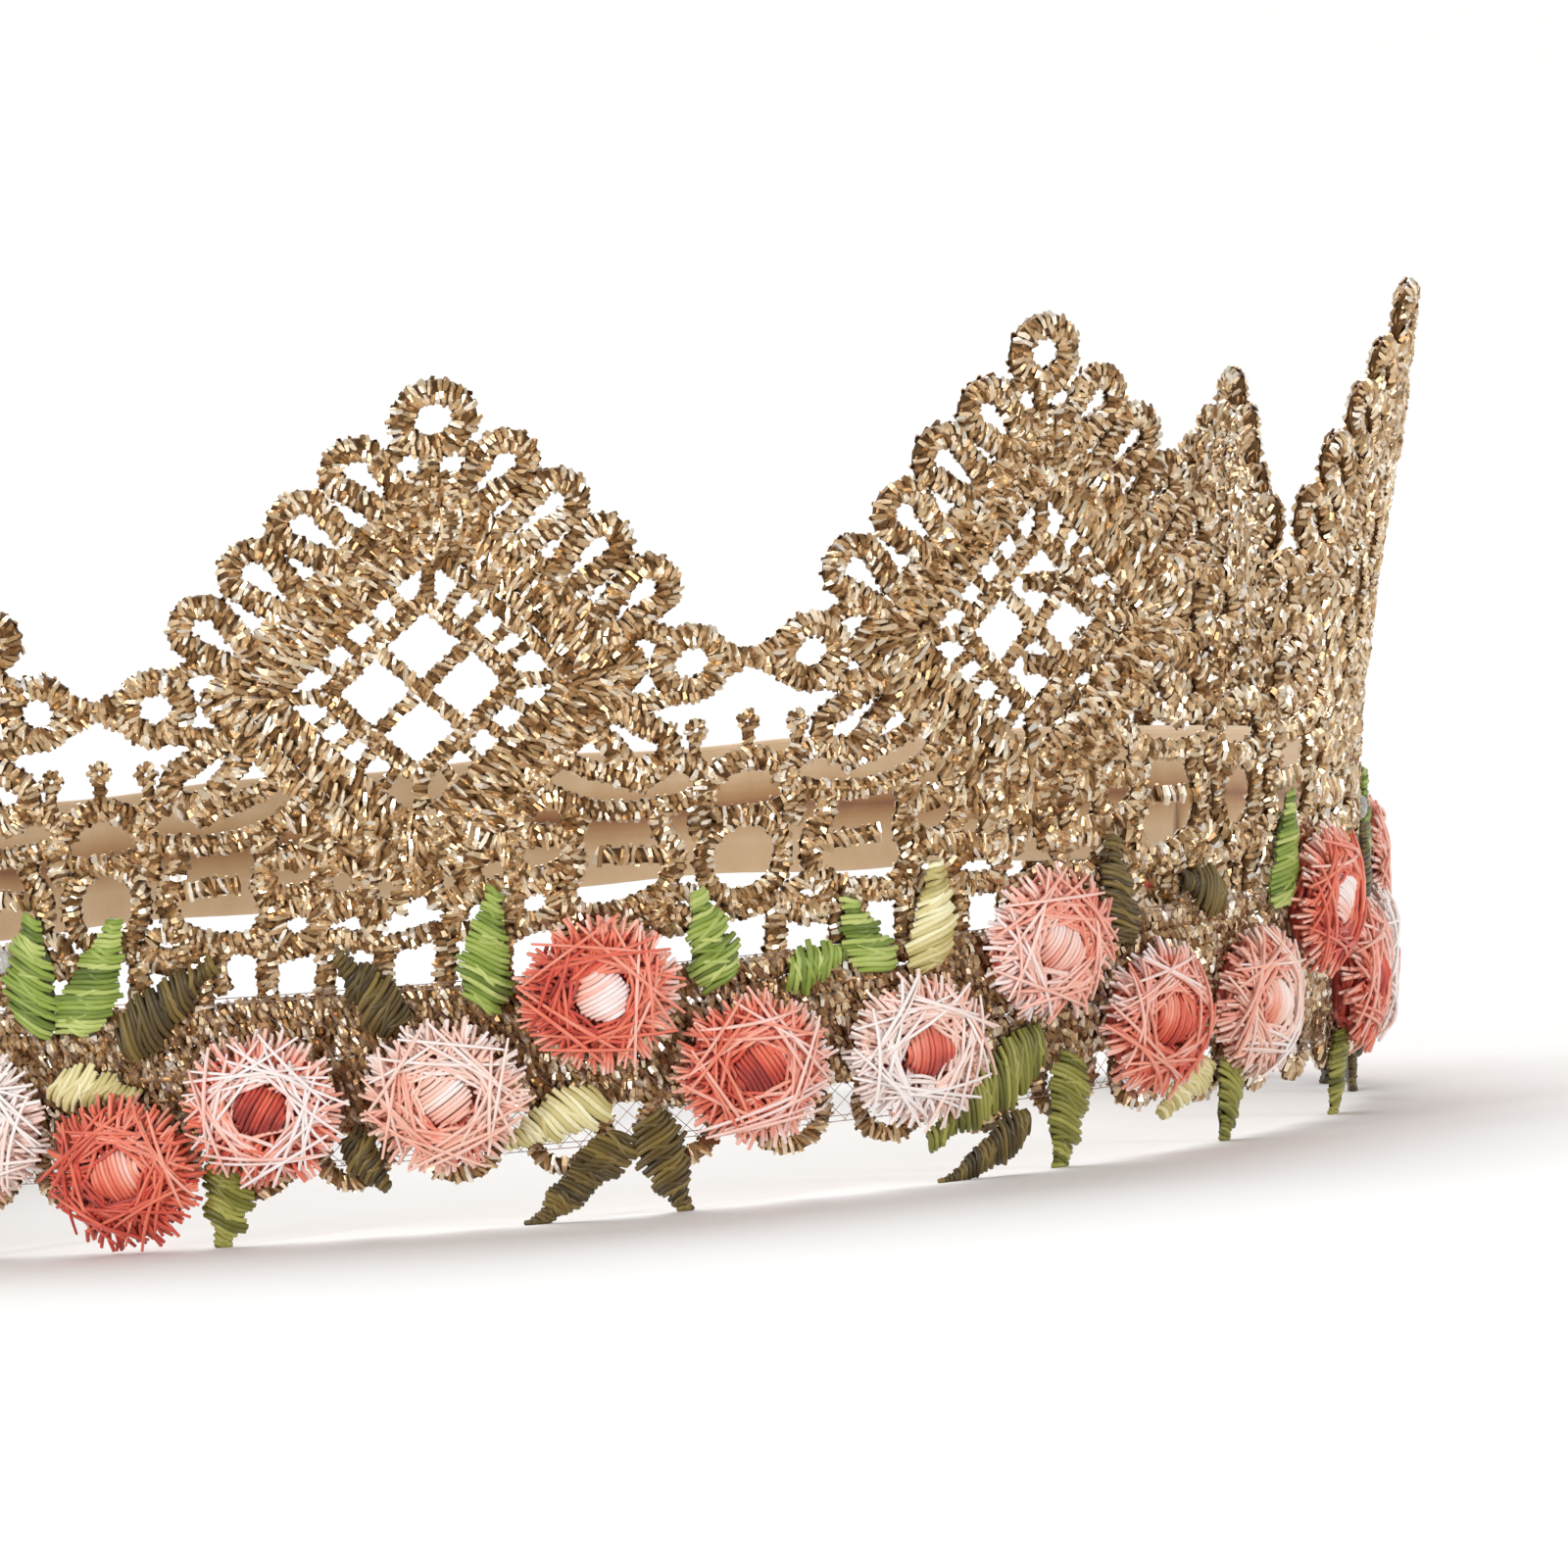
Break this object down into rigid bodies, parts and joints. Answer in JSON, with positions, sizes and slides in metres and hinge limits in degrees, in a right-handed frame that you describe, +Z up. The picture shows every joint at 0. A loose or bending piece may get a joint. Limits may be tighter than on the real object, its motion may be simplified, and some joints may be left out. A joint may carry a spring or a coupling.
{
  "type": "flower crown",
  "caption": "Round crown of pointed metallic lace with an embroidered rose and leaf trim round its foot, closed at the back by a sprung elastic band.",
  "frame": {"origin": "on the ring's axis, at the surface the crown stands on", "axes": "+Z up along the ring's axis, -Y towards the front of the crown, +X to the right as seen from the front"},
  "size_m": [0.1748, 0.1705, 0.0752],
  "materials": {
    "gold_lace": "metallic thread, crosswise stitched",
    "rose_coral": "shiny rayon thread, space dyed coral to white",
    "rose_peach": "shiny rayon thread, space dyed peach to white",
    "rose_pale": "shiny rayon thread, space dyed pale pink to coral",
    "leaf_bright": "shiny rayon thread",
    "leaf_olive": "shiny rayon thread",
    "leaf_dark": "shiny rayon thread",
    "leaf_cream": "shiny rayon thread",
    "satin_elastic": "soft satin fold-over elastic",
    "net_tape": "thin open net",
    "sewing_thread": "matt cotton thread",
    "clear_thread": "clear nylon monofilament",
    "clear_glue": "dried clear glue"
  },
  "bodies": {
    "crown": {"lace_point_1": "gold_lace", "lace_point_2": "gold_lace", "lace_point_3": "gold_lace", "lace_point_4": "gold_lace", "lace_point_5": "gold_lace", "lace_point_6": "gold_lace", "lace_point_7": "gold_lace", "net_tape": "net_tape", "rose_01": "rose_coral", "rose_02": "rose_pale", "rose_03": "rose_coral", "rose_04": "rose_coral", "rose_05": "rose_pale", "rose_06": "rose_peach", "rose_07": "rose_coral", "rose_08": "rose_pale", "rose_09": "rose_coral", "rose_10": "rose_coral", "rose_11": "rose_pale", "rose_12": "rose_coral", "rose_13": "rose_coral", "rose_14": "rose_pale", "rose_15": "rose_coral", "rose_16": "rose_coral", "rose_17": "rose_pale", "rose_18": "rose_peach", "rose_19": "rose_coral", "rose_20": "rose_pale", "rose_21": "rose_coral", "rose_22": "rose_coral", "rose_23": "rose_pale", "rose_24": "rose_peach", "rose_25": "rose_coral", "rose_26": "rose_pale", "rose_27": "rose_coral", "bright_leaves": "leaf_bright", "olive_leaves": "leaf_olive", "dark_leaves": "leaf_dark", "cream_leaves": "leaf_cream", "elastic_left_end": "satin_elastic", "elastic_right_end": "satin_elastic", "elastic_left_side": "satin_elastic", "elastic_right_side": "satin_elastic", "join_stitches_left": "sewing_thread", "join_stitches_right": "sewing_thread", "trim_stitches": "clear_thread", "glue_drops": "clear_glue"},
    "band_back": {"elastic_middle": "satin_elastic"}
  },
  "joints": [
    {"name": "elastic_stretch", "type": "slide", "parent": "crown", "child": "band_back", "axis": [0, 1, 0], "range_m": [0, 0.025], "stiffness_N_per_m": 120, "deforming": ["elastic_left_side", "elastic_right_side"]}
  ]
}
